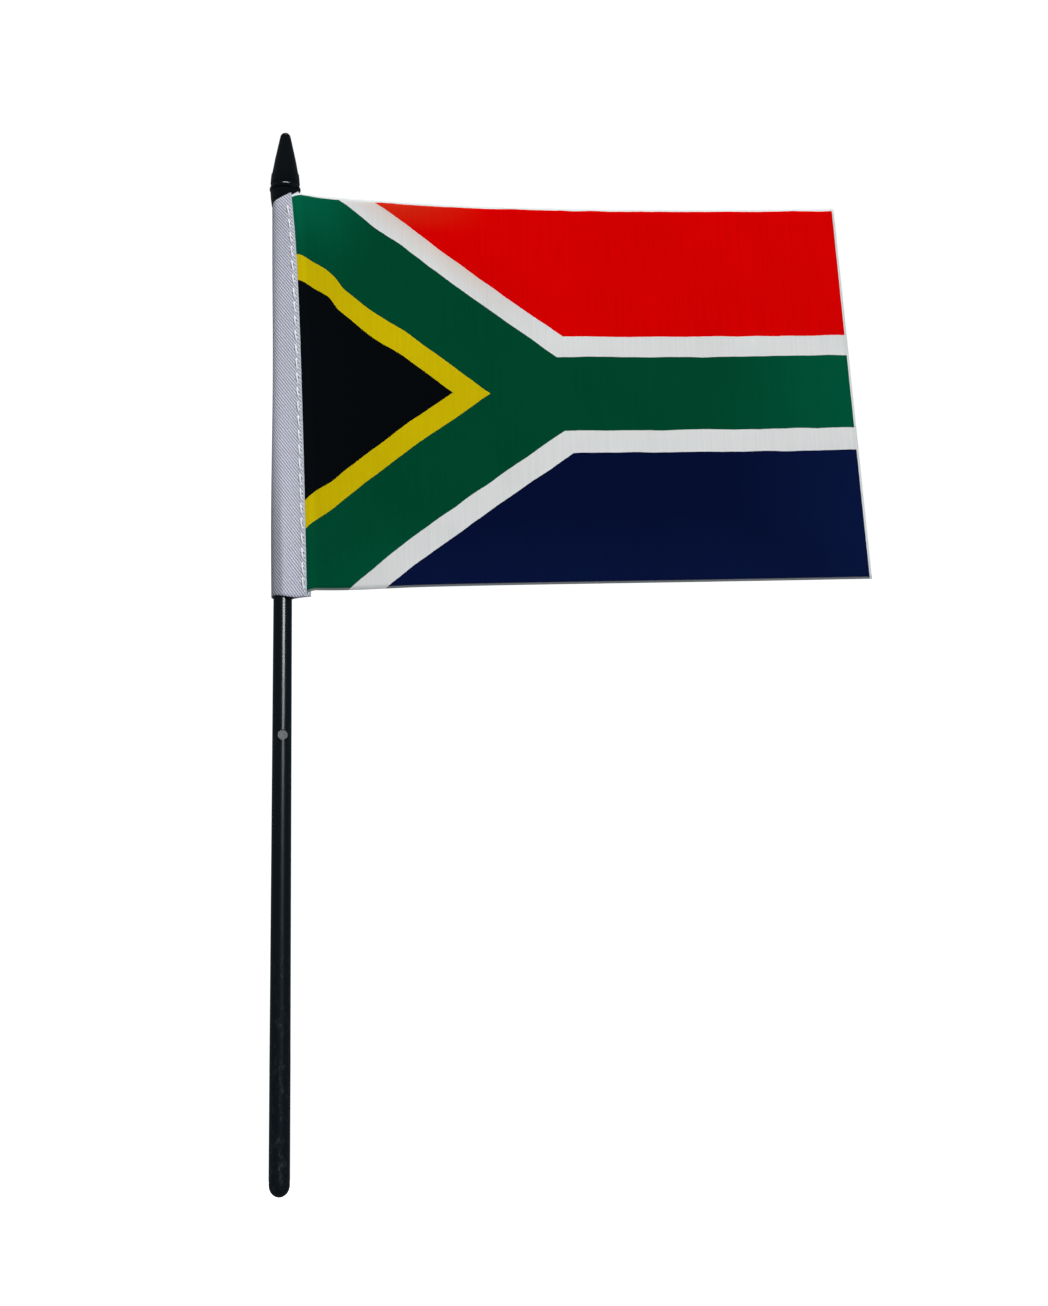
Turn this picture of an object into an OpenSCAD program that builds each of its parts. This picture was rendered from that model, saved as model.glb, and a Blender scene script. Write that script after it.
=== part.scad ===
// Hand flag on a moulded stick, for a desk flag base.
// Millimetres, +Z up along the stick, the flag flies towards +X and its front faces -Y.
// The origin is on the stick's axis, where the straight wall of its lower end begins.

/* [Stick] */
// Diameter of the straight lower end, which goes into a flag base
seat_d = 4.6; // [4:0.1:7]
// Length of the straight lower end
seat_l = 26; // [15:1:60]
// Height of the rounded tip below the straight lower end
tip_h = 2.6; // [1.5:0.1:4]
// Diameter of the stick at its top, under the finial
stick_top_d = 4.0; // [3.2:0.1:4.2]
// Height of the stick's shoulder, where the finial sits
shoulder_z = 229.2; // [200:0.1:300]
// Heights of the two ejector marks on the front of the stick
mark_z = [4, 98.3];
// Diameter of an ejector mark
mark_d = 2.3; // [1:0.1:3]
// Depths of the two ejector marks
mark_depth = [0.12, 0.3];
// Turn of the ejector marks from the front towards the flag, in degrees
mark_turn = 12; // [0:1:60]

/* [Finial] */
// Length of the spear finial
finial_l = 20.5; // [15:0.5:30]
// Largest diameter of the finial's body
finial_d = 7.15; // [6.2:0.05:9]
// Diameter over the finial's bead
bead_d = 7.55; // [6.6:0.05:10]
// Diameter of the finial's lower rim
rim_d = 5.0; // [4.8:0.1:6]
// Diameter of the press-fit spigot on the stick
spigot_d = 3.3; // [2.4:0.1:3.4]
// Length of the spigot
spigot_l = 8; // [5:0.5:10]

/* [Sleeve] */
// Inner diameter of the sleeve's tube round the stick
tube_d = 4.9; // [4.8:0.05:7]
// Thickness of the twill
twill_t = 0.25; // [0.15:0.05:0.5]
// Height of the sleeve's lower edge
sleeve_z = 129.9; // [100:0.1:160]
// Length of the sleeve's tube
sleeve_l = 98.1; // [60:0.1:98.5]
// Length of the sleeve's two leaves, which hold the panel
leaf_l = 102.2; // [60:0.1:110]
// Distance from the stick's axis at which the two leaves meet
leaves_meet = 4.2; // [4:0.1:4.4]
// Distance from the stick's axis to the leaves' cut edge
leaf_edge = 6; // [5.8:0.1:9]
// Turn of the leaves towards the front, in degrees
leaf_turn = 40; // [0:1:80]

/* [Panel] */
// Flat width of the panel, with its sewn margin
panel_w = 146.9; // [100:0.1:220]
// Height of the panel
panel_h = 100; // [60:1:150]
// Thickness of the panel's cloth
cloth_t = 0.15; // [0.1:0.01:0.2]
// Width of the margin between the leaves
margin_w = 1.5; // [1.2:0.1:1.5]
// Height of the panel's lower corner at the stick
panel_z = 131.4; // [100:0.1:160]
// Rise of the panel's fly edge above its hoist edge
fly_lift = 9.8; // [0:0.1:20]
// Lean of the fly edge: how far its top stands nearer the stick than its foot
fly_lean = 3.2; // [0:0.1:8]

/* [Thread] */
// Length of one lockstitch
stitch = 3.6; // [2:0.1:5]
// Diameter of the thread
thread_d = 0.3; // [0.2:0.05:0.4]
// Distance from the stick's axis to the stitch line
stitch_r = 5.1; // [4.8:0.1:5.4]

/* [Hidden] */
$fn = 64;

// Small gaps between pieces that don't touch
slack = 0.05;
fold_gap = 0.45;

// The finial's profile: heights of its parts above its rim
finial_z = shoulder_z;
bead_z = 5.2;
bead_r = 0.62;
groove_z = 6.4;
ridge_z = 9.2;
nose_r = 1.3;

// The seam: leaves 2 deep with the panel's margin between them, stitched through
leaf_gap = cloth_t + 2 * slack;
leaf_h = leaf_gap / 2 + twill_t;
stitches = floor((leaf_l - 5) / stitch);
stitch_z0 = sleeve_z + (leaf_l - stitches * stitch) / 2;
needle_hole_d = thread_d + 0.1;

// The panel's curve in plan: it turns back at the sleeve's edge, then runs ever straighter to the fly
fold_len = 1.5;
back_turn = 46.7;
straighten_len = 46.3;
lift_len = 35;
hinge_r = leaf_edge + fold_gap;
hinge = [hinge_r * cos(leaf_turn), -hinge_r * sin(leaf_turn)];
visible_w = panel_w - margin_w - 1;
steps = 72;

function heading(s) = s < fold_len
    ? -leaf_turn + (back_turn + leaf_turn) * (1 - cos(180 * s / fold_len)) / 2
    : back_turn * exp(-(s - fold_len) / straighten_len);

// Short steps in the fold, longer ones beyond it
function station(i) = visible_w * pow(i / steps, 1.6);

// Points along the plan curve, moved off it by off along its normal
function plan(off) = [for (
    i = 0, s = 0, p = hinge;
    i <= steps;
    m = (station(i) + station(i + 1)) / 2,
    d = station(i + 1) - station(i),
    p = p + d * [cos(heading(m)), sin(heading(m))],
    i = i + 1,
    s = station(i)
) p + off * [-sin(heading(s)), cos(heading(s))]];

function reversed(list) = [for (i = [len(list) - 1:-1:0]) list[i]];
function lift(x) = fly_lift * (1 - exp(-(x - hinge[0]) / lift_len));
function arc(c, r, a0, a1, n) = [for (i = [0:n]) let (a = a0 + (a1 - a0) * i / n) c + r * [cos(a), sin(a)]];

// Where a line from point p touches a circle of radius r, a little past the touch so that the two cross
function touch(r, p) = let (a = atan2(p[1], p[0]) + acos(r / norm(p)) + 3) r * [cos(a), sin(a)];

module at_leaf() {
    rotate([0, 0, -leaf_turn]) children();
}

// One straight hole or plug through the seam at each end of every stitch
module along_seam() {
    for (i = [0:stitches]) translate([stitch_r, 0, stitch_z0 + i * stitch]) rotate([90, 0, 0]) children();
}

// The sleeve's section: a circle round the stick that narrows to a flat pair of leaves, half as thick as h
module teardrop(r, h, edge, z0, l, leaf_top) {
    translate([0, 0, z0]) cylinder(h = l, r = r);
    t = touch(r, [leaves_meet, h]);
    translate([0, 0, z0]) linear_extrude(l)
        polygon([[0, 0], [t[0], -t[1]], [leaves_meet, -h], [leaves_meet + 0.3, -h], [leaves_meet + 0.3, h],
            [leaves_meet, h], t]);
    translate([leaves_meet, -h, z0]) cube([edge - leaves_meet, 2 * h, leaf_top]);
}

// Radius of the stick at a height above its straight lower end
function stick_r(z) = (seat_d + (stick_top_d - seat_d) * max(0, z - seat_l) / (shoulder_z - seat_l)) / 2;

module stick() {
    color("#15191d") difference() {
        union() {
            // rounded tip
            rotate_extrude() polygon(concat([[0, 0]], [for (a = [0:7.5:90])
                [seat_d / 2 * cos(a), -tip_h * sin(a)]]));
            cylinder(h = seat_l, d = seat_d);
            // draft of the moulding
            translate([0, 0, seat_l]) cylinder(h = shoulder_z - seat_l, d1 = seat_d, d2 = stick_top_d);
            translate([0, 0, shoulder_z - 1]) cylinder(h = spigot_l + 1, d = spigot_d);
        }
        for (i = [0:1]) rotate([0, 0, mark_turn]) translate([0, mark_depth[i] - stick_r(mark_z[i]), mark_z[i]])
            rotate([90, 0, 0]) cylinder(h = 2, d = mark_d);
    }
}

module finial() {
    r = finial_d / 2;
    color("#0d1114") translate([0, 0, finial_z]) difference() {
        rotate_extrude() polygon(concat(
            [[0, 0], [rim_d / 2, 0]],
            // rounded base, bead and groove
            arc([rim_d / 2, 1.1], 0.75, -60, 0, 5),
            [[r - 0.12, 2.6], [r, bead_z - bead_r - 0.2]],
            arc([bead_d / 2 - bead_r, bead_z], bead_r, -70, 70, 8),
            [[r - 0.1, groove_z], [r, groove_z + 0.35], [r - 0.12, ridge_z - 0.9], [r - 0.2, ridge_z - 0.1],
                [r - 0.34, ridge_z]],
            // spear and its round nose
            [[r - 1.05, ridge_z + 4.1]],
            arc([0, finial_l - nose_r], nose_r, 12, 90, 8)
        ));
        translate([0, 0, -1]) cylinder(h = spigot_l + 1.4, d = spigot_d);
    }
}

module hoist_sleeve() {
    color("#b4b6c6") at_leaf() difference() {
        teardrop(tube_d / 2 + twill_t, leaf_h, leaf_edge, sleeve_z, sleeve_l, leaf_l);
        teardrop(tube_d / 2, leaf_gap / 2, leaf_edge + 1, sleeve_z - 1, sleeve_l + 2, leaf_l + 2);
        along_seam() cylinder(h = 4 * leaf_h, d = needle_hole_d, center = true);
    }
}

// The part of the panel's cloth that lies between the leaves
module panel_margin() {
    color("#dfe6e2") at_leaf() difference() {
        translate([leaf_edge - margin_w, -cloth_t / 2, panel_z]) cube([margin_w, cloth_t, panel_h]);
        along_seam() cylinder(h = 2, d = needle_hole_d, center = true);
    }
}

module flag_panel() {
    far = plan(0)[steps];
    xs = [for (i = [0:12]) hinge[0] + (far[0] - hinge[0]) * i / 12];
    color("#01422c") intersection() {
        translate([0, 0, panel_z - 5]) linear_extrude(panel_h + fly_lift + 10)
            polygon(concat(plan(-cloth_t / 2), reversed(plan(cloth_t / 2))));
        // cut outline, seen from the front
        translate([0, far[1] + 20, panel_z]) rotate([90, 0, 0]) linear_extrude(far[1] + 60) polygon(concat(
            [[hinge[0] - 3, 0]],
            [for (x = xs) [x, lift(x)]],
            reversed([for (x = xs) [x - fly_lean * (x - hinge[0]) / (far[0] - hinge[0]), panel_h + lift(x)]]),
            [[hinge[0] - 3, panel_h]]
        ));
    }
}

// One side of the lockstitch: a run on the leaf's face that dips into every needle hole
module seam_thread(side) {
    run_y = side * (leaf_h + thread_d / 2 + 0.02);
    at_leaf() {
        translate([stitch_r, run_y, stitch_z0 - thread_d / 2]) cylinder(h = stitches * stitch + thread_d, d = thread_d);
        along_seam() translate([0, 0, side < 0 ? 0.03 : run_y * -1])
            cylinder(h = abs(run_y) - 0.03, d = thread_d - 0.08);
    }
}

module needle_thread() {
    color("#e6e2ee") seam_thread(-1);
}

module bobbin_thread() {
    color("#e6e2ee") seam_thread(1);
}

stick();
finial();
hoist_sleeve();
panel_margin();
flag_panel();
needle_thread();
bobbin_thread();
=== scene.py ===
"""Looks of a small cloth hand flag on a moulded stick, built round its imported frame.

Metres, +Z up along the stick, the flag flies towards +X and its front faces -Y.
"""

import math

import bpy
import numpy as np
from mathutils import Matrix, Vector


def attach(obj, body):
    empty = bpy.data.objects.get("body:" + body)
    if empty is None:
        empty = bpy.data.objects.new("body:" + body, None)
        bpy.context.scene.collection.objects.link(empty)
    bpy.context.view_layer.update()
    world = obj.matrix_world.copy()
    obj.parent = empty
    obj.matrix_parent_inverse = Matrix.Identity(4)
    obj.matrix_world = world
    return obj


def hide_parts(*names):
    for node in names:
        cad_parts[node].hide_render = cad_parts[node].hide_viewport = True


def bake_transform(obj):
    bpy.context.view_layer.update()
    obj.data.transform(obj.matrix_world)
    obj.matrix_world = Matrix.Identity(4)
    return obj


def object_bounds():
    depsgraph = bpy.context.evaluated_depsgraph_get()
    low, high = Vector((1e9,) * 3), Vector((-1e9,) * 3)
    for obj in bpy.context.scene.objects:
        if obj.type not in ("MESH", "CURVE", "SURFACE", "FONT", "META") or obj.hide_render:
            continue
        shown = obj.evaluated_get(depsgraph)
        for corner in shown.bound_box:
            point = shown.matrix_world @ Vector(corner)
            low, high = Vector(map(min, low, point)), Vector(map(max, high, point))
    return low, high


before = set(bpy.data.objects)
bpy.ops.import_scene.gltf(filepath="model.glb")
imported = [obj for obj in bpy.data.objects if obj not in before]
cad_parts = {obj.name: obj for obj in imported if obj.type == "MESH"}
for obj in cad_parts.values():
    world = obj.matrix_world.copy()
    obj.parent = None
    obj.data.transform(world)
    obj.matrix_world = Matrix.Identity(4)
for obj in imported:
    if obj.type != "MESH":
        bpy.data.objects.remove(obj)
CAD_LOW, CAD_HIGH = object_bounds()

bl_info = {
    "name": "Hand Flag",
    "version": (1, 0, 0),
    "blender": (4, 5, 0),
    "location": "View3D > Sidebar > Hand Flag",
    "description": "Dresses a hand flag: printed cloth, twill sleeve, sewing thread and moulded plastic",
    "category": "Object",
}

MM = 0.001

# The panel's curve in plan, as the part's source gives it
LEAF_TURN = math.radians(40)
HINGE_R = 6.45 * MM
HINGE = np.array([HINGE_R * math.cos(LEAF_TURN), -HINGE_R * math.sin(LEAF_TURN)])
BACK_TURN = math.radians(46.7)
STRAIGHTEN = 46.3 * MM
FOLD = 1.5 * MM
PANEL_Z = 131.4 * MM
FLY_LIFT = 9.8 * MM
LIFT_LEN = 35 * MM
FLY_LEAN = 3.2 * MM
VISIBLE_W = 144.4 * MM

# The cloth folds back softly within the first length, and past the second it follows the part's curve
SOFT_FOLD = 3 * MM
JOIN_FOLD = 30 * MM
# A length along the panel from the seam, where the panel operator puts the middle point of its level bend
# line
BEND = 12 * MM

# The sleeve: the height that its weave is measured from, its length, and how far a leaf reaches in from its
# cut edge
SLEEVE_LOW = 129.8 * MM
SLEEVE_LENGTH = 101.8 * MM
LEAF = 1.9 * MM
# Half the distance between the middles of the two leaves
LEAF_HALF = 0.21 * MM
# Heights of the sleeve's mouth and foot at the seam
MOUTH = 231.6 * MM
FOOT = 130.2 * MM

# Rise of the print's two arms over their run
ARM_SLOPE = 0.702

# Focal length over the longer side of the picture
FOCAL_SHARE = 2000 / 1306

# UV units per metre on the sleeve, and the millimetres that one unit stands for
STRIP_SCALE = 10
STRIP_MM = 1 / STRIP_SCALE / MM


def srgb(code):
    """Turns an sRGB hex value into linear red, green and blue."""
    parts = [int(code[i:i + 2], 16) / 255 for i in (0, 2, 4)]
    return tuple(c / 12.92 if c <= 0.04045 else ((c + 0.055) / 1.055) ** 2.4 for c in parts)


def smooth(low, high, value):
    """Rises smoothly from 0 at low to 1 at high."""
    q = np.clip((value - low) / (high - low), 0, 1)
    return q * q * (3 - 2 * q)


# ---------------------------------------------------------------- cloth geometry

def walk(start, heading, stations):
    """Follows a heading from start: plan points at every station, which start at 0."""
    middle = heading((stations[1:] + stations[:-1]) / 2)
    step = np.diff(stations)
    x = start[0] + np.concatenate([[0], np.cumsum(step * np.cos(middle))])
    y = start[1] + np.concatenate([[0], np.cumsum(step * np.sin(middle))])
    return x, y


def turning(first, fold):
    """Heading of the cloth along a thread that leaves the seam at the angle first."""
    def heading(s):
        back = BACK_TURN * np.exp(-(s - fold) / STRAIGHTEN)
        folding = first + (BACK_TURN - first) * (1 - np.cos(np.pi * np.clip(s / fold, 0, 1))) / 2
        return np.where(s < fold, folding, back)
    return heading


def seam_edge(share):
    """The sleeve's cut edge at a share of the panel's height: its place in plan and the leaf's direction. The
    real sleeve is twisted a little, so its seam stands further round the stick at the top."""
    out = 5.96 - 2.15 * share - 0.86 * share ** 2 - 1.0 * share ** 8
    place = np.array([out, -3.2 - 0.6 * share]) * MM
    return place, math.radians(-15 + 5 * share)


def lift(x):
    """Rise of the cloth at a distance x from the stick's axis."""
    return FLY_LIFT * (1 - np.exp(-(x - HINGE[0]) / LIFT_LEN))


def thread_path(share, stations, height):
    """One weft thread of the panel, as points at the stations from the seam's cut edge to the fly."""
    out = stations[stations >= 0]
    plan_x, plan_y = walk(HINGE, turning(-LEAF_TURN, FOLD), out)
    edge, leaf_way = seam_edge(share)
    x, y = walk(edge, turning(leaf_way, SOFT_FOLD), out)
    leaning_x = plan_x - FLY_LEAN * share * (plan_x - plan_x[0]) / (plan_x[-1] - plan_x[0])
    leaning_y = np.interp(leaning_x, plan_x, plan_y)
    joined = smooth(SOFT_FOLD, JOIN_FOLD, out)
    x, y = x + (leaning_x - x) * joined, y + (leaning_y - y) * joined
    inside = stations[stations < 0]
    x = np.concatenate([edge[0] + inside * math.cos(leaf_way), x])
    y = np.concatenate([edge[1] + inside * math.sin(leaf_way), y])
    # beside the seam the cloth is stretched a little taller
    taller = 1 * MM * (1 - smooth(0, LIFT_LEN, np.clip(stations, 0, None)))
    z = PANEL_Z + height * share + (share - 0.5) * taller + lift(x)
    return np.stack([x, y, z], axis=1)


def print_skew(along, up):
    """How far the print is dragged towards the sleeve, in mm, where the cloth was pulled out of square as it
    was sewn: close to the seam, and in a slanting ripple in the upper half."""
    at_seam = (1.2 + 1.2 * smooth(35, 75, up)) * (1 - smooth(1.5, 9, along))
    start = 10 + 0.3 * (up - 74)
    high = smooth(80, 97, up)
    ripple = smooth(start - 1.5 - 2 * high, start + 2.5 + 2 * high, along)
    ripple = ripple * (1 - smooth(19 + 2 * high, 30, along))
    return at_seam + ripple * (1.9 - 1.3 * high) * smooth(50, 62, up)


def grid_normals(grid):
    """Unit normals of a grid of points."""
    across = np.gradient(grid, axis=1)
    up = np.gradient(grid, axis=0)
    n = np.cross(across, up)
    return n / np.linalg.norm(n, axis=2, keepdims=True)


def place_mesh(mesh):
    """Shades a mesh smooth and puts it in the scene as an object of its own name."""
    mesh.polygons.foreach_set("use_smooth", [True] * len(mesh.polygons))
    mesh.update()
    thing = bpy.data.objects.new(mesh.name, mesh)
    bpy.context.scene.collection.objects.link(thing)
    return thing


def thick_sheet(name, grid, thickness, uv, uv_name):
    """A closed sheet of cloth from a grid of points on its middle: two faces and a rim, with a UV map."""
    rows, cols = grid.shape[:2]
    n = grid_normals(grid)
    half = n * thickness / 2
    points = np.concatenate([(grid + half).reshape(-1, 3), (grid - half).reshape(-1, 3)])
    back = rows * cols
    faces = []
    for i in range(rows - 1):
        for j in range(cols - 1):
            a = i * cols + j
            b, c, d = a + 1, a + cols + 1, a + cols
            faces.append((a, b, c, d))
            faces.append((back + d, back + c, back + b, back + a))
    rim = list(range(cols))
    rim += [i * cols + cols - 1 for i in range(1, rows)]
    rim += [(rows - 1) * cols + j for j in range(cols - 2, -1, -1)]
    rim += [i * cols for i in range(rows - 2, 0, -1)]
    for a, b in zip(rim, rim[1:] + rim[:1]):
        faces.append((b, a, back + a, back + b))
    mesh = bpy.data.meshes.new(name)
    mesh.from_pydata(points.tolist(), [], faces)
    layer = mesh.uv_layers.new(name=uv_name)
    flat = uv.reshape(-1, 2)
    corner = np.empty(len(mesh.loops), dtype=np.int32)
    mesh.loops.foreach_get("vertex_index", corner)
    layer.data.foreach_set("uv", flat[corner % back].astype(np.float32).ravel())
    return place_mesh(mesh)


def tube_radius(share):
    """Radius of the sleeve's tube, which is slacker towards the top and a little baggy at both ends."""
    return (2.56 + 0.33 * share + 0.13 * np.cos(2 * np.pi * (share - 0.18) / 0.78)) * MM


def sleeve_section(share, back_reach):
    """The folded strip in plan: front leaf, round the stick, back leaf. Also the length along it."""
    edge, way = seam_edge(np.clip(share, 0, 1))
    g = np.array([math.cos(way), math.sin(way)])
    out = np.array([g[1], -g[0]])
    r = float(tube_radius(share))
    flare = 0.62 * MM * float(smooth(0.95, 0.99, share))
    base = edge - LEAF * g

    def circle(angle):
        # the front of the mouth opens over the finial's base
        wider = r + flare * float(smooth(math.radians(165), math.radians(120), -angle))
        return wider * np.array([math.cos(angle), math.sin(angle)])

    front, rear = base + out * LEAF_HALF, base - out * LEAF_HALF
    front_at = math.atan2(front[1], front[0]) - math.acos(r / np.linalg.norm(front))
    rear_at = math.atan2(rear[1], rear[0]) + math.acos(min(1, r / np.linalg.norm(rear)))
    path = [front + g * LEAF * q for q in np.linspace(1, 0, 9)]
    path += [front + (circle(front_at) - front) * q for q in np.linspace(0, 1, 13)[1:]]
    path += [circle(a) for a in np.linspace(front_at, rear_at - 2 * math.pi, 49)[1:]]
    path += [circle(rear_at) + (rear - circle(rear_at)) * q for q in np.linspace(0, 1, 13)[1:]]
    path += [rear + g * LEAF * q for q in np.linspace(0, 1, 8)[1:]]
    # the back leaf's edge stays behind the panel as this turns back
    reach = np.linspace(0, back_reach, 6)
    folding = turning(way, SOFT_FOLD)
    x, y = walk(edge, folding, reach)
    bend = folding(reach)
    behind = np.column_stack([x - np.sin(bend) * LEAF_HALF, y + np.cos(bend) * LEAF_HALF])
    path = np.array(path + list(behind[1:]))
    # twill can't turn sharply
    for _ in range(10):
        path[1:-1] = path[1:-1] * 0.5 + (path[:-2] + path[2:]) * 0.25
    length = np.concatenate([[0], np.cumsum(np.linalg.norm(np.diff(path, axis=0), axis=1))])
    return path, length


# ---------------------------------------------------------------- materials

def add(tree, kind, inputs=None, **settings):
    """Adds one node, sets its properties, and gives its inputs a value or another node's output."""
    node = tree.nodes.new(kind)
    for key, value in settings.items():
        setattr(node, key, value)
    for key, value in (inputs or {}).items():
        if isinstance(value, bpy.types.NodeSocket):
            tree.links.new(value, node.inputs[key])
        else:
            node.inputs[key].default_value = value
    return node


def new_material(name):
    """An empty material with its node tree and shader."""
    material = bpy.data.materials.new(name)
    material.use_nodes = True
    tree = material.node_tree
    tree.nodes.clear()
    shader = add(tree, "ShaderNodeBsdfPrincipled")
    add(tree, "ShaderNodeOutputMaterial", {"Surface": shader.outputs[0]})
    return material, tree, shader


def bands_apart(distance):
    """Scale of a wave texture whose bands are this far apart."""
    return math.pi / 10 / distance


def rgba(colour):
    """A colour with full opacity."""
    return (*tuple(colour)[:3], 1)


def printed_polyester(cloth, inks):
    """Polyester flag cloth, dye printed and cut with a hot knife: matt saturated inks that keep a faint
    vertical thread streak, and a thin unprinted white margin at the top and the fly."""
    material, tree, shader = new_material("printed_polyester_flag_cloth")
    height, width = cloth.height / MM, VISIBLE_W / MM
    uv = add(tree, "ShaderNodeUVMap", uv_map="Cloth")
    place = add(tree, "ShaderNodeVectorMath", {0: uv.outputs[0], 1: (width, height, 1)}, operation="MULTIPLY")
    axes = add(tree, "ShaderNodeSeparateXYZ", {0: place.outputs[0]})
    along, up = axes.outputs[0], axes.outputs[1]
    # the ink's edge wanders slowly, and a little from thread to thread
    slow = add(tree, "ShaderNodeTexNoise", {"Vector": place.outputs[0], "Scale": 0.11, "Detail": 1.0})
    quick = add(tree, "ShaderNodeTexNoise", {"Vector": place.outputs[0], "Scale": 1.3, "Detail": 1.0})
    slow_shift = add(tree, "ShaderNodeMath", {0: slow.outputs[0], 1: 0.6, 2: -0.36}, operation="MULTIPLY_ADD")
    shift = add(tree, "ShaderNodeMath", {0: quick.outputs[0], 1: 0.12, 2: slow_shift.outputs[0]},
                operation="MULTIPLY_ADD")
    # the stripes: distance past the green's outer edge, from the bar and from the two slanted arms
    above = add(tree, "ShaderNodeMath", {0: up, 1: cloth.print_centre / MM}, operation="SUBTRACT")
    off_bar = add(tree, "ShaderNodeMath", {0: above.outputs[0]}, operation="ABSOLUTE")
    side = add(tree, "ShaderNodeMath", {0: above.outputs[0]}, operation="SIGN")
    slope = add(tree, "ShaderNodeMath", {0: side.outputs[0], 1: 0.017, 2: ARM_SLOPE},
                operation="MULTIPLY_ADD")
    meet = add(tree, "ShaderNodeMath", {0: side.outputs[0], 1: -0.5, 2: cloth.arms_meet / MM},
               operation="MULTIPLY_ADD")
    to_meet = add(tree, "ShaderNodeMath", {0: meet.outputs[0], 1: along}, operation="SUBTRACT")
    arm = add(tree, "ShaderNodeMath", {0: slope.outputs[0], 1: to_meet.outputs[0]}, operation="MULTIPLY")
    off_line = add(tree, "ShaderNodeMath", {0: off_bar.outputs[0], 1: arm.outputs[0]}, operation="SUBTRACT")
    square_to_arm = math.cos(math.atan(ARM_SLOPE))
    past_arm = add(tree, "ShaderNodeMath", {0: off_line.outputs[0], 1: square_to_arm, 2: -cloth.arm / 2 / MM},
                   operation="MULTIPLY_ADD")
    past_bar = add(tree, "ShaderNodeMath", {0: off_bar.outputs[0], 1: cloth.bar / 2 / MM},
                   operation="SUBTRACT")
    nearest = add(tree, "ShaderNodeMath", {0: past_arm.outputs[0], 1: past_bar.outputs[0]},
                  operation="MINIMUM")
    stripe = add(tree, "ShaderNodeMath", {0: nearest.outputs[0], 1: shift.outputs[0]}, operation="ADD")
    # the ramp covers this many millimetres on both sides of the green's edge
    reach = 40.0
    ramp_at = add(tree, "ShaderNodeMapRange", {
        "Value": stripe.outputs[0], "From Min": -reach, "From Max": reach})
    ramp = add(tree, "ShaderNodeValToRGB", {"Fac": ramp_at.outputs[0]})
    ramp.color_ramp.interpolation = "CONSTANT"
    stops = ramp.color_ramp.elements
    stops[0].position, stops[0].color = 0, rgba(inks.black)
    stops[1].position, stops[1].color = 0.5, rgba(inks.white)
    for at, ink in ((-cloth.arm - cloth.band, inks.yellow), (-cloth.arm, inks.green)):
        stops.new((at / MM + reach) / 2 / reach).color = rgba(ink)
    # red warms towards orange where its corner meets the top edge
    corner_along = add(tree, "ShaderNodeMapRange", {
        "Value": along, "From Min": 27, "From Max": 52, "To Min": 1, "To Max": 0})
    corner_up = add(tree, "ShaderNodeMapRange", {"Value": up, "From Min": 92, "From Max": 99})
    corner = add(tree, "ShaderNodeMath", {0: corner_along.outputs[0], 1: corner_up.outputs[0]},
                 operation="MULTIPLY")
    red = add(tree, "ShaderNodeMix", {0: corner.outputs[0], 6: rgba(inks.red), 7: rgba(inks.orange)},
              data_type="RGBA")
    is_top = add(tree, "ShaderNodeMath", {0: above.outputs[0], 1: 0.0}, operation="GREATER_THAN")
    field = add(tree, "ShaderNodeMix", {0: is_top.outputs[0], 6: rgba(inks.blue), 7: red.outputs[2]},
                data_type="RGBA")
    band_end = add(tree, "ShaderNodeMath", {0: side.outputs[0], 1: -0.2, 2: cloth.white_band / MM},
                   operation="MULTIPLY_ADD")
    is_field = add(tree, "ShaderNodeMath", {0: stripe.outputs[0], 1: band_end.outputs[0]},
                   operation="GREATER_THAN")
    # a little red dye has bled into the white beside it on the slanted arm
    off_green = add(tree, "ShaderNodeMapRange", {
        "Value": stripe.outputs[0], "From Min": 1.0, "From Max": 5.0, "To Max": 0.55})
    towards_hoist = add(tree, "ShaderNodeMapRange", {"Value": along, "From Min": 62, "From Max": 48})
    bled_here = add(tree, "ShaderNodeMath", {0: off_green.outputs[0], 1: towards_hoist.outputs[0]},
                    operation="MULTIPLY")
    bled = add(tree, "ShaderNodeMath", {0: bled_here.outputs[0], 1: is_top.outputs[0]}, operation="MULTIPLY")
    bands = add(tree, "ShaderNodeMix", {0: bled.outputs[0], 6: ramp.outputs[0], 7: rgba(inks.bled)},
                data_type="RGBA")
    printed = add(tree, "ShaderNodeMix", {0: is_field.outputs[0], 6: bands.outputs[2], 7: field.outputs[2]},
                  data_type="RGBA")
    # unprinted margins at the top and the fly, and a melted line along the foot
    ragged = add(tree, "ShaderNodeMath", {0: shift.outputs[0], 1: up}, operation="ADD")
    at_top = add(tree, "ShaderNodeMath", {0: ragged.outputs[0], 1: height - 0.5}, operation="GREATER_THAN")
    at_fly = add(tree, "ShaderNodeMath", {0: along, 1: width - 0.55}, operation="GREATER_THAN")
    bare = add(tree, "ShaderNodeMath", {0: at_top.outputs[0], 1: at_fly.outputs[0]}, operation="MAXIMUM")
    cloth_colour = add(tree, "ShaderNodeMix", {0: bare.outputs[0], 6: printed.outputs[2], 7: rgba(inks.bare)},
                       data_type="RGBA")
    foot = add(tree, "ShaderNodeMapRange", {
        "Value": up, "From Min": 0.35, "From Max": 0.6, "To Min": 0.3, "To Max": 0})
    melted = add(tree, "ShaderNodeMix", {0: foot.outputs[0], 6: cloth_colour.outputs[2], 7: rgba(inks.bare)},
                 data_type="RGBA")
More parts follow.
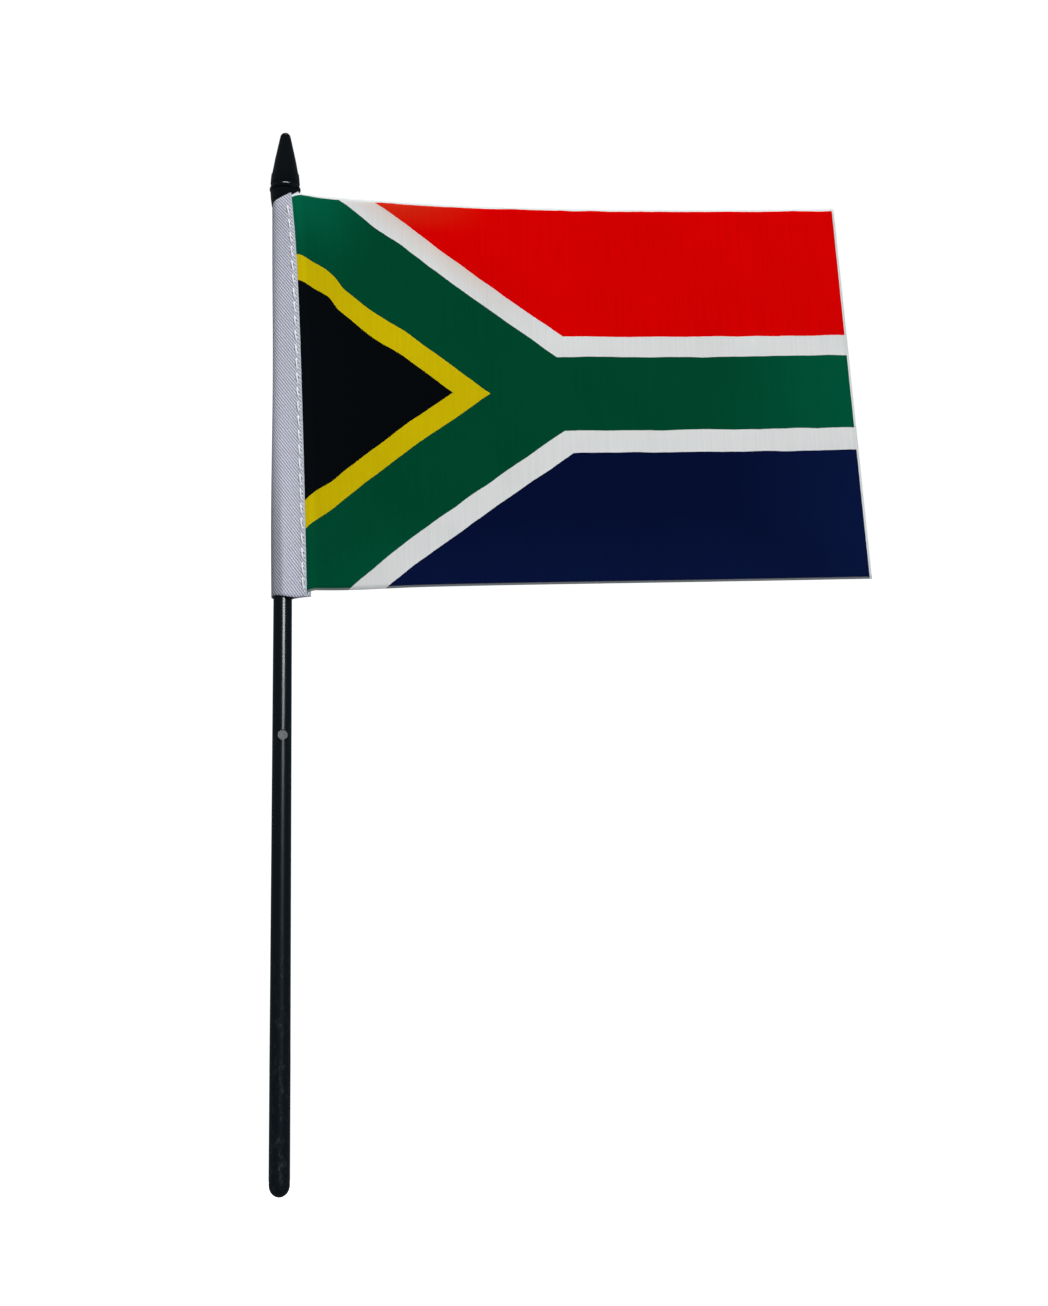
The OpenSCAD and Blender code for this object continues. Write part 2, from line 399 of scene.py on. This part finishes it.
    # warp threads: faint streaks along the height, drawn coarser than the real threads so that they show
    streak_at = add(tree, "ShaderNodeMapping", {"Vector": place.outputs[0], "Scale": (1.6, 0.05, 1)})
    streak = add(tree, "ShaderNodeTexNoise", {"Vector": streak_at.outputs[0], "Scale": 1.0, "Detail": 3.0})
    cloudy = add(tree, "ShaderNodeTexNoise", {"Vector": place.outputs[0], "Scale": 0.05, "Detail": 2.0})
    tone = add(tree, "ShaderNodeMath", {0: streak.outputs[0], 1: 0.16, 2: 0.84}, operation="MULTIPLY_ADD")
    clouded = add(tree, "ShaderNodeMath", {0: cloudy.outputs[0], 1: 0.16, 2: tone.outputs[0]},
                  operation="MULTIPLY_ADD")
    toned = add(tree, "ShaderNodeVectorMath", {0: melted.outputs[2], "Scale": clouded.outputs[0]},
                operation="SCALE")
    # painted light: the deep dyes are painted paler where light shows through the thin cloth: at the hoist,
    # the fly and the foot, and most of all in the top corner
    hoist = add(tree, "ShaderNodeMapRange", {
        "Value": along, "From Min": 0, "From Max": 26, "To Min": 1, "To Max": 0},
                interpolation_type="SMOOTHSTEP")
    head = add(tree, "ShaderNodeMapRange", {
        "Value": up, "From Min": 80, "From Max": 100, "To Min": 0.22, "To Max": 1},
               interpolation_type="SMOOTHSTEP")
    glow_corner = add(tree, "ShaderNodeMath", {0: hoist.outputs[0], 1: head.outputs[0]},
                         operation="MULTIPLY")
    fly = add(tree, "ShaderNodeMapRange", {
        "Value": along, "From Min": width - 40, "From Max": width, "To Max": 0.4},
              interpolation_type="SMOOTHSTEP")
    low = add(tree, "ShaderNodeMapRange", {"Value": up, "From Min": 22, "From Max": 0, "To Max": 0.3},
              interpolation_type="SMOOTHSTEP")
    glow_sides = add(tree, "ShaderNodeMath", {0: glow_corner.outputs[0], 1: fly.outputs[0]},
                        operation="MAXIMUM")
    painted_glow = add(tree, "ShaderNodeMath", {0: glow_sides.outputs[0], 1: low.outputs[0]},
                  operation="MAXIMUM")
    much = add(tree, "ShaderNodeMath", {0: painted_glow.outputs[0], 1: 7.0}, operation="MULTIPLY")
    # the painted light lifts only the deep dyes: nothing is added above a fifth of full brightness
    depth = add(tree, "ShaderNodeVectorMath", {0: (0.2, 0.2, 0.2), 1: toned.outputs[0]}, operation="SUBTRACT")
    deep = add(tree, "ShaderNodeVectorMath", {0: depth.outputs[0], 1: (0, 0, 0)}, operation="MAXIMUM")
    weak = add(tree, "ShaderNodeVectorMath", {0: deep.outputs[0], 1: toned.outputs[0]}, operation="MULTIPLY")
    glow_added = add(tree, "ShaderNodeVectorMath", {0: weak.outputs[0], "Scale": much.outputs[0]},
                 operation="SCALE")
    glow_paled = add(tree, "ShaderNodeVectorMath", {0: toned.outputs[0], 1: glow_added.outputs[0]}, operation="ADD")
    # the fold at the seam stays in its own shade
    crease = add(tree, "ShaderNodeMapRange", {
        "Value": along, "From Min": 0.25, "From Max": 0.9, "To Min": 0.45, "To Max": 1})
    creased = add(tree, "ShaderNodeVectorMath", {0: glow_paled.outputs[0], "Scale": crease.outputs[0]},
                  operation="SCALE")
    tree.links.new(creased.outputs[0], shader.inputs["Base Color"])
    # plain weave, drawn 0.35 mm between threads where the real one has about 0.2 mm, so that it shows
    weave_at = {"Vector": place.outputs[0], "Scale": bands_apart(0.35)}
    warp = add(tree, "ShaderNodeTexWave", weave_at, bands_direction="X")
    weft = add(tree, "ShaderNodeTexWave", weave_at, bands_direction="Y")
    weave = add(tree, "ShaderNodeMath", {0: warp.outputs[1], 1: weft.outputs[1]}, operation="MULTIPLY")
    bump = add(tree, "ShaderNodeBump", {"Height": weave.outputs[0], "Strength": 0.35, "Distance": 0.05 * MM})
    tree.links.new(bump.outputs[0], shader.inputs["Normal"])
    shader.inputs["Roughness"].default_value = 0.9
    shader.inputs["Specular IOR Level"].default_value = 0.0
    return material


def polyester_twill(sleeve, inks):
    """White polyester twill tape: steep diagonal ribs of satiny thread, a heat-cut edge with a cool tint, and
    painted shade of dimples along the seam, where the thread pulls the twill."""
    material, tree, shader = new_material("polyester_twill_tape")
    uv = add(tree, "ShaderNodeUVMap", uv_map="Strip")
    place = add(tree, "ShaderNodeVectorMath", {0: uv.outputs[0], 1: (STRIP_MM, STRIP_MM, 1)},
                operation="MULTIPLY")
    axes = add(tree, "ShaderNodeSeparateXYZ", {0: place.outputs[0]})
    across, along = axes.outputs[0], axes.outputs[1]
    # ribs, drawn 0.55 mm apart where the real ones are 0.45 mm, so that they show
    rib = sleeve.rib_spacing / MM
    lean = sleeve.rib_lean
    wobble = add(tree, "ShaderNodeTexNoise", {"Vector": place.outputs[0], "Scale": 0.8, "Detail": 2.0})
    lean_across = add(tree, "ShaderNodeMath", {0: across, 1: -math.sin(lean) * 2 * math.pi / rib},
                      operation="MULTIPLY")
    rib_phase = add(tree, "ShaderNodeMath", {
        0: along, 1: math.cos(lean) * 2 * math.pi / rib, 2: lean_across.outputs[0]}, operation="MULTIPLY_ADD")
    uneven_phase = add(tree, "ShaderNodeMath", {0: wobble.outputs[0], 1: 2.2, 2: rib_phase.outputs[0]},
                       operation="MULTIPLY_ADD")
    ribs = add(tree, "ShaderNodeMath", {0: uneven_phase.outputs[0]}, operation="SINE")
    # each rib is a row of short floats
    float_across = add(tree, "ShaderNodeMath", {0: across, 1: 2 * math.pi / (rib * 1.3)},
                       operation="MULTIPLY")
    float_phase = add(tree, "ShaderNodeMath", {
        0: along, 1: 2 * math.pi / (rib * 1.9), 2: float_across.outputs[0]}, operation="MULTIPLY_ADD")
    floats = add(tree, "ShaderNodeMath", {0: float_phase.outputs[0]}, operation="SINE")
    raised = add(tree, "ShaderNodeMath", {0: floats.outputs[0], 1: 0.22, 2: ribs.outputs[0]},
                 operation="MULTIPLY_ADD")
    rib_light = add(tree, "ShaderNodeMapRange", {
        "Value": raised.outputs[0], "From Min": -1.1, "From Max": 1.1})
    twill = add(tree, "ShaderNodeMix", {
        0: rib_light.outputs[0], 6: rgba(inks.twill_dark), 7: rgba(inks.twill)}, data_type="RGBA")
    # cut edge
    fray = add(tree, "ShaderNodeMath", {0: wobble.outputs[0], 1: 0.3, 2: across}, operation="MULTIPLY_ADD")
    at_edge = add(tree, "ShaderNodeMapRange", {
        "Value": fray.outputs[0], "From Min": 0.36, "From Max": 0.5, "To Min": 1, "To Max": 0})
    edged = add(tree, "ShaderNodeMix", {0: at_edge.outputs[0], 6: twill.outputs[2], 7: rgba(inks.cut_edge)},
                data_type="RGBA")
    # painted shade: a dark dimple beside every stitch, on a line that runs a little away from the cut edge
    pitch = sleeve.stitch / MM
    step = add(tree, "ShaderNodeMath", {0: along, 1: pitch / 2}, operation="PINGPONG")
    seam = add(tree, "ShaderNodeMath", {0: along, 1: 0.0035, 2: sleeve.seam_in / MM},
               operation="MULTIPLY_ADD")
    beside = add(tree, "ShaderNodeMath", {0: across, 1: seam.outputs[0]}, operation="SUBTRACT")
    spot = add(tree, "ShaderNodeCombineXYZ", {0: step.outputs[0], 1: beside.outputs[0]})
    reach = add(tree, "ShaderNodeVectorMath", {0: spot.outputs[0]}, operation="LENGTH")
    dimple_shade = add(tree, "ShaderNodeMapRange", {
        "Value": reach.outputs["Value"], "From Min": 0.25, "From Max": 0.5, "To Min": 0.95, "To Max": 0})
    # the seam stops short of the mouth
    in_seam = add(tree, "ShaderNodeMath", {0: along, 1: 99.5}, operation="LESS_THAN")
    sewn = add(tree, "ShaderNodeMath", {0: dimple_shade.outputs[0], 1: in_seam.outputs[0]}, operation="MULTIPLY")
    dimple_shaded = add(tree, "ShaderNodeMix", {0: sewn.outputs[0], 6: edged.outputs[2], 7: rgba(inks.dimple_shade)},
                data_type="RGBA")
    # painted shade: below the middle, past a crease along the tube's left side, the cloth is painted darker
    beyond = add(tree, "ShaderNodeMapRange", {
        "Value": across, "From Min": 5.0, "From Max": 6.4, "To Max": 0.42}, interpolation_type="SMOOTHSTEP")
    lower = add(tree, "ShaderNodeMapRange", {"Value": along, "From Min": 46, "From Max": 8},
                interpolation_type="SMOOTHSTEP")
    round_back = add(tree, "ShaderNodeMapRange", {"Value": across, "From Min": 11, "From Max": 9},
                     interpolation_type="SMOOTHSTEP")
    shade_low = add(tree, "ShaderNodeMath", {0: beyond.outputs[0], 1: lower.outputs[0]},
                      operation="MULTIPLY")
    painted_shade_side = add(tree, "ShaderNodeMath", {0: shade_low.outputs[0], 1: round_back.outputs[0]},
                       operation="MULTIPLY")
    light_kept = add(tree, "ShaderNodeMath", {0: 1.0, 1: painted_shade_side.outputs[0]}, operation="SUBTRACT")
    shaded = add(tree, "ShaderNodeVectorMath", {0: dimple_shaded.outputs[2], "Scale": light_kept.outputs[0]},
                 operation="SCALE")
    tree.links.new(shaded.outputs[0], shader.inputs["Base Color"])
    bump = add(tree, "ShaderNodeBump", {
        "Height": rib_light.outputs[0], "Strength": 0.6, "Distance": 0.08 * MM})
    tree.links.new(bump.outputs[0], shader.inputs["Normal"])
    shader.inputs["Roughness"].default_value = 0.6
    shader.inputs["Specular IOR Level"].default_value = 0.3
    shader.inputs["Sheen Weight"].default_value = 0.15
    return material


def spun_thread(inks):
    """Two-ply polyester sewing thread: bright, slightly glossy, with a fine twist."""
    material, tree, shader = new_material("polyester_sewing_thread")
    where = add(tree, "ShaderNodeTexCoord")
    twist_at = add(tree, "ShaderNodeMapping", {
        "Vector": where.outputs["Object"], "Rotation": (0, math.radians(35), math.radians(20))})
    twist = add(tree, "ShaderNodeTexWave", {
        "Vector": twist_at.outputs[0], "Scale": bands_apart(0.3 * MM), "Distortion": 1.0},
                bands_direction="Z")
    colour = add(tree, "ShaderNodeMix", {
        0: twist.outputs[1], 6: rgba(inks.thread_dark), 7: rgba(inks.thread)}, data_type="RGBA")
    tree.links.new(colour.outputs[2], shader.inputs["Base Color"])
    bump = add(tree, "ShaderNodeBump", {"Height": twist.outputs[1], "Strength": 0.2, "Distance": 0.02 * MM})
    tree.links.new(bump.outputs[0], shader.inputs["Normal"])
    shader.inputs["Sheen Weight"].default_value = 0.4
    shader.inputs["Roughness"].default_value = 0.3
    return material


def moulded_styrene(name, colour, roughness, scuffs):
    """Black polystyrene as it leaves a polished mould: near-black with a cool cast and a tight highlight,
    broken by faint draw lines along the stick and by handling scuffs."""
    material, tree, shader = new_material(name)
    where = add(tree, "ShaderNodeTexCoord")
    # draw lines run along the stick about 0.5 mm apart, sink ripples are about 4 mm long, scuffs 1 to 2 mm
    draw_at = add(tree, "ShaderNodeMapping", {
        "Vector": where.outputs["Object"], "Scale": (1 / (0.5 * MM), 1 / (0.5 * MM), 1 / (30 * MM))})
    draw = add(tree, "ShaderNodeTexNoise", {"Vector": draw_at.outputs[0], "Scale": 1.0, "Detail": 3.0})
    ripple_at = add(tree, "ShaderNodeMapping", {
        "Vector": where.outputs["Object"], "Scale": (1 / (4 * MM), 1 / (4 * MM), 1 / (3.5 * MM))})
    ripple = add(tree, "ShaderNodeTexNoise", {"Vector": ripple_at.outputs[0], "Scale": 1.0, "Detail": 2.0})
    scuff_at = add(tree, "ShaderNodeMapping", {
        "Vector": where.outputs["Object"], "Scale": (1 / (0.9 * MM), 1 / (0.9 * MM), 1 / (2.2 * MM))})
    scuff = add(tree, "ShaderNodeTexNoise", {
        "Vector": scuff_at.outputs[0], "Scale": 1.0, "Detail": 6.0, "Roughness": 0.7})
    axes = add(tree, "ShaderNodeSeparateXYZ", {0: where.outputs["Object"]})
    # the lower end is handled most
    low = add(tree, "ShaderNodeMapRange", {
        "Value": axes.outputs[2], "From Min": 62 * MM, "From Max": 20 * MM, "To Min": 0, "To Max": scuffs})
    rubbed = add(tree, "ShaderNodeMapRange", {"Value": scuff.outputs[0], "From Min": 0.52, "From Max": 0.68})
    worn = add(tree, "ShaderNodeMath", {0: low.outputs[0], 1: rubbed.outputs[0]}, operation="MULTIPLY")
    pale = tuple(c * 2.2 + 0.01 for c in tuple(colour)[:3])
    tint = add(tree, "ShaderNodeMix", {0: worn.outputs[0], 6: rgba(colour), 7: rgba(pale)}, data_type="RGBA")
    tree.links.new(tint.outputs[2], shader.inputs["Base Color"])
    dull = add(tree, "ShaderNodeMath", {0: draw.outputs[0], 1: 0.08, 2: roughness - 0.04},
               operation="MULTIPLY_ADD")
    duller = add(tree, "ShaderNodeMath", {0: worn.outputs[0], 1: 0.2, 2: dull.outputs[0]},
                 operation="MULTIPLY_ADD")
    tree.links.new(duller.outputs[0], shader.inputs["Roughness"])
    draw_bump = add(tree, "ShaderNodeBump", {
        "Height": draw.outputs[0], "Strength": 0.12, "Distance": 0.03 * MM})
    ripple_bump = add(tree, "ShaderNodeBump", {
        "Height": ripple.outputs[0], "Strength": 0.25, "Distance": 0.05 * MM, "Normal": draw_bump.outputs[0]})
    tree.links.new(ripple_bump.outputs[0], shader.inputs["Normal"])
    shader.inputs["IOR"].default_value = 1.5
    return material


def white_studio():
    """Matt white studio paint on the floor and the curved wall."""
    material, tree, shader = new_material("white_studio_paint")
    where = add(tree, "ShaderNodeTexCoord")
    mottle = add(tree, "ShaderNodeTexNoise", {"Vector": where.outputs["Object"], "Scale": 3.0, "Detail": 2.0})
    tone = add(tree, "ShaderNodeMix", {
        0: mottle.outputs[0], 6: (0.90, 0.90, 0.90, 1), 7: (0.93, 0.93, 0.93, 1)}, data_type="RGBA")
    tree.links.new(tone.outputs[2], shader.inputs["Base Color"])
    shader.inputs["Roughness"].default_value = 0.9
    shader.inputs["Specular IOR Level"].default_value = 0.0
    shader.inputs["Emission Color"].default_value = (1, 1, 1, 1)
    shader.inputs["Emission Strength"].default_value = 0.9
    return material


def dress(thing, material):
    """Makes this the thing's only material."""
    thing.data.materials.clear()
    thing.data.materials.append(material)


# ---------------------------------------------------------------- settings

class FlagCloth(bpy.types.PropertyGroup):
    """Sizes of the printed panel."""
    height: bpy.props.FloatProperty(
        name="Height", description="Height of the cloth along the stick", default=100 * MM, unit="LENGTH")
    margin: bpy.props.FloatProperty(
        name="Margin", description="Width of the cloth that is sewn between the sleeve's leaves",
        default=2.5 * MM, unit="LENGTH")
    thickness: bpy.props.FloatProperty(
        name="Thickness", description="Thickness of the cloth", default=0.15 * MM, unit="LENGTH")
    bar: bpy.props.FloatProperty(
        name="Bar", description="Width of the green bar", default=19.6 * MM, unit="LENGTH")
    arm: bpy.props.FloatProperty(
        name="Arms", description="Width of the two green arms", default=18.7 * MM, unit="LENGTH")
    white_band: bpy.props.FloatProperty(
        name="White band", description="Width of the white bands beside the green",
        default=5.7 * MM, unit="LENGTH")
    band: bpy.props.FloatProperty(
        name="Yellow band", description="Width of the yellow band round the black",
        default=5.65 * MM, unit="LENGTH")
    arms_meet: bpy.props.FloatProperty(
        name="Arms meet", description="Distance from the sleeve at which the middles of the arms meet",
        default=66.95 * MM, unit="LENGTH")
    print_centre: bpy.props.FloatProperty(
        name="Print centre", description="Height of the bar's middle above the foot of the cloth",
        default=49.5 * MM, unit="LENGTH")


class SleeveCloth(bpy.types.PropertyGroup):
    """Sizes of the twill sleeve and its seam."""
    thickness: bpy.props.FloatProperty(
        name="Thickness", description="Thickness of the twill", default=0.25 * MM, unit="LENGTH")
    rib_spacing: bpy.props.FloatProperty(
        name="Rib spacing", description="Distance between the twill's ribs", default=0.55 * MM, unit="LENGTH")
    rib_lean: bpy.props.FloatProperty(
        name="Rib lean", description="Angle of the ribs against the weft",
        default=math.radians(55), subtype="ANGLE")
    stitch: bpy.props.FloatProperty(
        name="Stitch", description="Length of one lockstitch", default=3.6 * MM, unit="LENGTH")
    seam_in: bpy.props.FloatProperty(
        name="Seam inset", description="Distance of the seam from the cut edge, at the foot",
        default=0.8 * MM, unit="LENGTH")
    thread: bpy.props.FloatProperty(
        name="Thread", description="Diameter of the sewing thread", default=0.48 * MM, unit="LENGTH")


def ink(name, description, code):
    """One colour that a user can change."""
    return bpy.props.FloatVectorProperty(
        name=name, description=description, default=srgb(code), size=3, min=0, max=1, subtype="COLOR")


class FlagColours(bpy.types.PropertyGroup):
    """Inks, threads and plastics."""
    red: ink("Red", "Upper field", "e10101")
    orange: ink("Orange", "Corner of the upper field", "df2c16")
    green: ink("Green", "Bar and arms", "01492f")
    yellow: ink("Yellow", "Band round the black", "d5bc05")
    black: ink("Black", "Hoist triangle", "080b0e")
    blue: ink("Blue", "Lower field", "071134")
    white: ink("White", "Bands beside the green", "e6e6e5")
    bled: ink("Bled white", "White beside the red", "e2c9bb")
    bare: ink("Unprinted", "Cloth without ink", "eef2f0")
    twill: ink("Twill", "Raised ribs of the sleeve", "f1f1fc")
    twill_dark: ink("Twill shade", "Between the ribs", "9594aa")
    cut_edge: ink("Cut edge", "Heat-cut edge of the sleeve", "c3cdd6")
    dimple_shade: ink("Dimple", "Shade in a dimple of the seam", "2c2c36")
    thread: ink("Thread", "Sewing thread", "ffffff")
    thread_dark: ink("Thread shade", "Between the plies", "fbfafd")
    stick: ink("Stick plastic", "Moulded stick", "040e14")
    finial: ink("Finial plastic", "Moulded finial", "030a10")


class FlagSettings(bpy.types.PropertyGroup):
    """Everything that a user would change."""
    cloth: bpy.props.PointerProperty(type=FlagCloth)
    sleeve: bpy.props.PointerProperty(type=SleeveCloth)
    colours: bpy.props.PointerProperty(type=FlagColours)


# ---------------------------------------------------------------- operators

class FLAG_OT_plastic(bpy.types.Operator):
    """Give the moulded stick and its finial their plastic"""
    bl_idname = "hand_flag.plastic"
    bl_label = "Moulded plastic"

    def execute(self, context):
        inks = context.scene.hand_flag.colours
        dress(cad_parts["stick"], moulded_styrene("moulded_styrene_stick", inks.stick, 0.22, 1.0))
        dress(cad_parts["finial"], moulded_styrene("moulded_styrene_finial", inks.finial, 0.14, 0.0))
        return {"FINISHED"}


class FLAG_OT_panel(bpy.types.Operator):
    """Make the printed cloth panel, from the margin inside the seam to the fly"""
    bl_idname = "hand_flag.panel"
    bl_label = "Printed panel"

    def execute(self, context):
        settings = context.scene.hand_flag
        cloth = settings.cloth
        shares = np.linspace(0, 1, 81)
        near = np.linspace(-cloth.margin, 0, 6)
        far = VISIBLE_W * (np.arange(1, 131) / 130) ** 1.5
        stations = np.concatenate([near, far])
        grid = np.array([thread_path(t, stations, cloth.height) for t in shares])
        print_at = stations[None, :] + print_skew(stations[None, :] / MM, 100 * shares[:, None]) * MM
        uv = np.stack(np.broadcast_arrays(print_at / VISIBLE_W, shares[:, None]), axis=2)
        panel = thick_sheet("printed_panel", grid, cloth.thickness, uv, "Cloth")
        dress(panel, printed_polyester(cloth, settings.colours))
        # the bend is level: a rise between its two points would bend the head and the foot differently
        bend = thread_path(0.5, np.array([0, BEND, VISIBLE_W]), cloth.height)
        bend[:, 2] = bend[0, 2]
        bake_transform(panel)
        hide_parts("flag_panel", "panel_margin")
        return {"FINISHED"}


class FLAG_OT_sleeve(bpy.types.Operator):
    """Fold the twill sleeve round the stick and sew it to the panel"""
    bl_idname = "hand_flag.sleeve"
    bl_label = "Twill sleeve and seam"

    def execute(self, context):
        settings = context.scene.hand_flag
        sleeve, cloth = settings.sleeve, settings.cloth
        grid, uv = [], []
        width = 0
        for q in np.linspace(0, 1, 171):
            share = (SLEEVE_LOW + q * SLEEVE_LENGTH - PANEL_Z) / cloth.height
            path, length = sleeve_section(share, (0.9 + 1.1 * smooth(0.93, 1, q)) * MM)
            # the mouth falls away from the seam to the back, and the foot rises a little
            away = np.clip(np.minimum(length, length[-1] - length) / (length[-1] / 2), 0, 1)
            rising = smooth(length[-1] - 3.5 * MM, length[-1], length)
            top = MOUTH - 3.2 * MM * np.clip(away / 0.7, 0, 1) + 0.5 * MM * rising
            foot = FOOT + 0.9 * MM * smooth(0.15, 0.7, away)
            z = foot + (top - foot) * q
            grid.append(np.column_stack([path, z]))
            uv.append(np.column_stack([length, z - SLEEVE_LOW]) * STRIP_SCALE)
            width = max(width, length[-1])
        tape = thick_sheet("twill_sleeve", np.array(grid), sleeve.thickness, np.array(uv), "Strip")
        dress(tape, polyester_twill(sleeve, settings.colours))
        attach(tape, "sleeve")
        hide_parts("hoist_sleeve")
        thread = spun_thread(settings.colours)
        for name, node, side in (
            ("needle_stitches", "needle_thread", 1),
            ("bobbin_stitches", "bobbin_thread", -1),
        ):
            run = sew(name, sleeve, cloth, side)
            dress(run, thread)
            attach(run, "sleeve")
            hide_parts(node)
        return {"FINISHED"}


def sew(name, sleeve, cloth, side):
    """The stitches on one side of the seam: each rises from its hole, crosses the leaf at a slant and dips
    again."""
    points, faces = [], []
    radius = sleeve.thread / 2
    sides, rings = 8, 11
    count = int(cloth.height / sleeve.stitch)
    for k in range(count):
        low = SLEEVE_LOW + (k + 0.5) * sleeve.stitch
        for r in range(rings):
            q = r / (rings - 1)
            z = low + sleeve.stitch * (0.1 + 0.8 * q)
            share = np.clip((z - PANEL_Z) / cloth.height, 0, 1)
            edge, way = seam_edge(share)
            g = np.array([math.cos(way), math.sin(way)])
            out = np.array([g[1], -g[0]]) * side
            inset = sleeve.seam_in + 0.35 * MM * share + (q - 0.5) * 0.22 * MM
            # the stitch arches over the twill and thins towards both of its ends
            arch = math.sin(math.pi * q)
            rise = (0.195 + 0.34 * arch ** 0.6) * MM
            centre = edge - g * inset + out * rise
            thin = 0.55 + 0.45 * max(arch, 0.0628) ** 0.5
            for a in range(sides):
                turn = 2 * math.pi * a / sides
                spot = centre + (g * math.cos(turn) + out * math.sin(turn)) * radius * thin
                points.append((spot[0], spot[1], z))
        base = k * rings * sides
        for r in range(rings - 1):
            for a in range(sides):
                low_a = base + r * sides + a
                low_b = base + r * sides + (a + 1) % sides
                quad = (low_a, low_b, low_b + sides, low_a + sides)
                faces.append(quad if side > 0 else quad[::-1])
        first = [base + a for a in range(sides)]
        last = [base + (rings - 1) * sides + a for a in range(sides)]
        faces.append(tuple(first[::-1]) if side > 0 else tuple(first))
        faces.append(tuple(last) if side > 0 else tuple(last[::-1]))
    mesh = bpy.data.meshes.new(name)
    mesh.from_pydata(points, [], faces)
    return place_mesh(mesh)


class FLAG_OT_stage(bpy.types.Operator):
    """Set the camera, the soft lights and the white floor with its curved wall"""
    bl_idname = "hand_flag.stage"
    bl_label = "Camera, lights and floor"

    def execute(self, context):
        scene = context.scene
        scene.view_settings.view_transform = "Standard"
        # floor and round wall, one surface of revolution
        mesh = bpy.data.meshes.new("studio_floor")
        floor_z = CAD_LOW.z
        reach, bend, wall = 2.2, 0.8, 2.4
        profile = [(reach * q, floor_z) for q in (0.02, 0.05, 0.1, 0.2, 0.4, 0.7, 1)]
        profile += [(reach + bend * math.sin(a), floor_z + bend * (1 - math.cos(a)))
                    for a in np.linspace(0, math.pi / 2, 13)[1:]]
        profile += [(reach + bend, floor_z + bend + wall)]
        sides = 96
        turns = [2 * math.pi * a / sides for a in range(sides)]
        points = [(0, 0, floor_z)]
        for r, z in profile:
            points += [(r * math.cos(t), r * math.sin(t), z) for t in turns]
        faces = [(0, 1 + a, 1 + (a + 1) % sides) for a in range(sides)]
        for ring in range(len(profile) - 1):
            for a in range(sides):
                low_a = 1 + ring * sides + a
                low_b = 1 + ring * sides + (a + 1) % sides
                faces.append((low_a, low_a + sides, low_b + sides, low_b))
        mesh.from_pydata(points, [], faces)
        floor = place_mesh(mesh)
        dress(floor, white_studio())
        floor.visible_glossy = False
        floor.visible_diffuse = False
        floor.visible_shadow = False
        # lights
        for name, place, target, size, power in (
            ("top_softbox", (0.2, -0.9, 1.4), (0.07, 0, 0.15), (1.4, 1.0), 3.8),
            ("low_fill", (0.0, -1.0, -0.5), (0.07, 0, 0.15), (1.4, 0.8), 3.6),
            ("back_softbox", (0.0, 1.2, 1.1), (0.07, 0, 0.15), (1.4, 1.0), 14),
            ("window", (0.281, -0.695, 0.375), (0, 0, 0.13), (0.30, 0.12), 2.8),
            ("ceiling_strip", (0.1, -0.25, 1.6), (0.03, 0, 0.2), (1.0, 0.14), 7.0),
        ):
            data = bpy.data.lights.new(name, "AREA")
            data.shape, data.size, data.size_y, data.energy = "RECTANGLE", size[0], size[1], power
            lamp = bpy.data.objects.new(name, data)
            lamp.location = place
            lamp.rotation_euler = (Vector(target) - Vector(place)).to_track_quat("-Z", "Y").to_euler()
            scene.collection.objects.link(lamp)
            # only the window and the strip show in the plastic's gloss
            lamp.visible_glossy = name in ("window", "ceiling_strip")
            if name == "window":
                # a card keeps the window off the finial, which shows only the strip
                carded = bpy.data.collections.new("window_card")
                carded.objects.link(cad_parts["finial"])
                lamp.light_linking.receiver_collection = carded
                carded.collection_objects[0].light_linking.link_state = "EXCLUDE"
        world = bpy.data.worlds.new("dim_studio")
        world.use_nodes = True
        sky = world.node_tree.nodes["Background"]
        sky.inputs["Color"].default_value = (0.75, 0.9, 1.0, 1)
        sky.inputs["Strength"].default_value = 0.12
        scene.world = world
        # camera, a little below the flag's foot, looking up
        pitch, roll = math.radians(14.5), math.radians(-1.45087)
        forward = Vector((0, math.cos(pitch), math.sin(pitch)))
        level = Vector((1, 0, 0))
        above = Vector((0, -math.sin(pitch), math.cos(pitch)))
        right = math.cos(roll) * level + math.sin(roll) * above
        up = math.cos(roll) * above - math.sin(roll) * level
        data = bpy.data.cameras.new("camera")
        data.sensor_width = 36
        data.lens = data.sensor_width * FOCAL_SHARE
        data.clip_start, data.clip_end = 0.01, 20
        camera = bpy.data.objects.new("camera", data)
        camera.matrix_world = Matrix((
            (right.x, up.x, -forward.x, 55.325 * MM),
            (right.y, up.y, -forward.y, -443.240 * MM),
            (right.z, up.z, -forward.z, 1.770 * MM),
            (0, 0, 0, 1),
        ))
        scene.collection.objects.link(camera)
        scene.camera = camera
        return {"FINISHED"}


class FLAG_PT_sidebar(bpy.types.Panel):
    """Lists the flag's settings and pieces"""
    bl_idname = "FLAG_PT_sidebar"
    bl_label = "Hand Flag"
    bl_space_type = "VIEW_3D"
    bl_region_type = "UI"
    bl_category = "Hand Flag"

    def draw(self, context):
        settings = context.scene.hand_flag
        for group in (settings.cloth, settings.sleeve, settings.colours):
            box = self.layout.box()
            for name in group.__annotations__:
                box.prop(group, name)
        for operator in PIECES:
            self.layout.operator(operator.bl_idname)


PIECES = (FLAG_OT_plastic, FLAG_OT_panel, FLAG_OT_sleeve, FLAG_OT_stage)
CLASSES = (FlagCloth, SleeveCloth, FlagColours, FlagSettings, *PIECES, FLAG_PT_sidebar)


def register():
    for cls in CLASSES:
        bpy.utils.register_class(cls)
    bpy.types.Scene.hand_flag = bpy.props.PointerProperty(type=FlagSettings)


def unregister():
    del bpy.types.Scene.hand_flag
    for cls in reversed(CLASSES):
        bpy.utils.unregister_class(cls)


def main():
    register()
    bpy.ops.hand_flag.plastic()
    bpy.ops.hand_flag.panel()
    bpy.ops.hand_flag.sleeve()
    bpy.ops.hand_flag.stage()


if __name__ == "__main__":
    main()
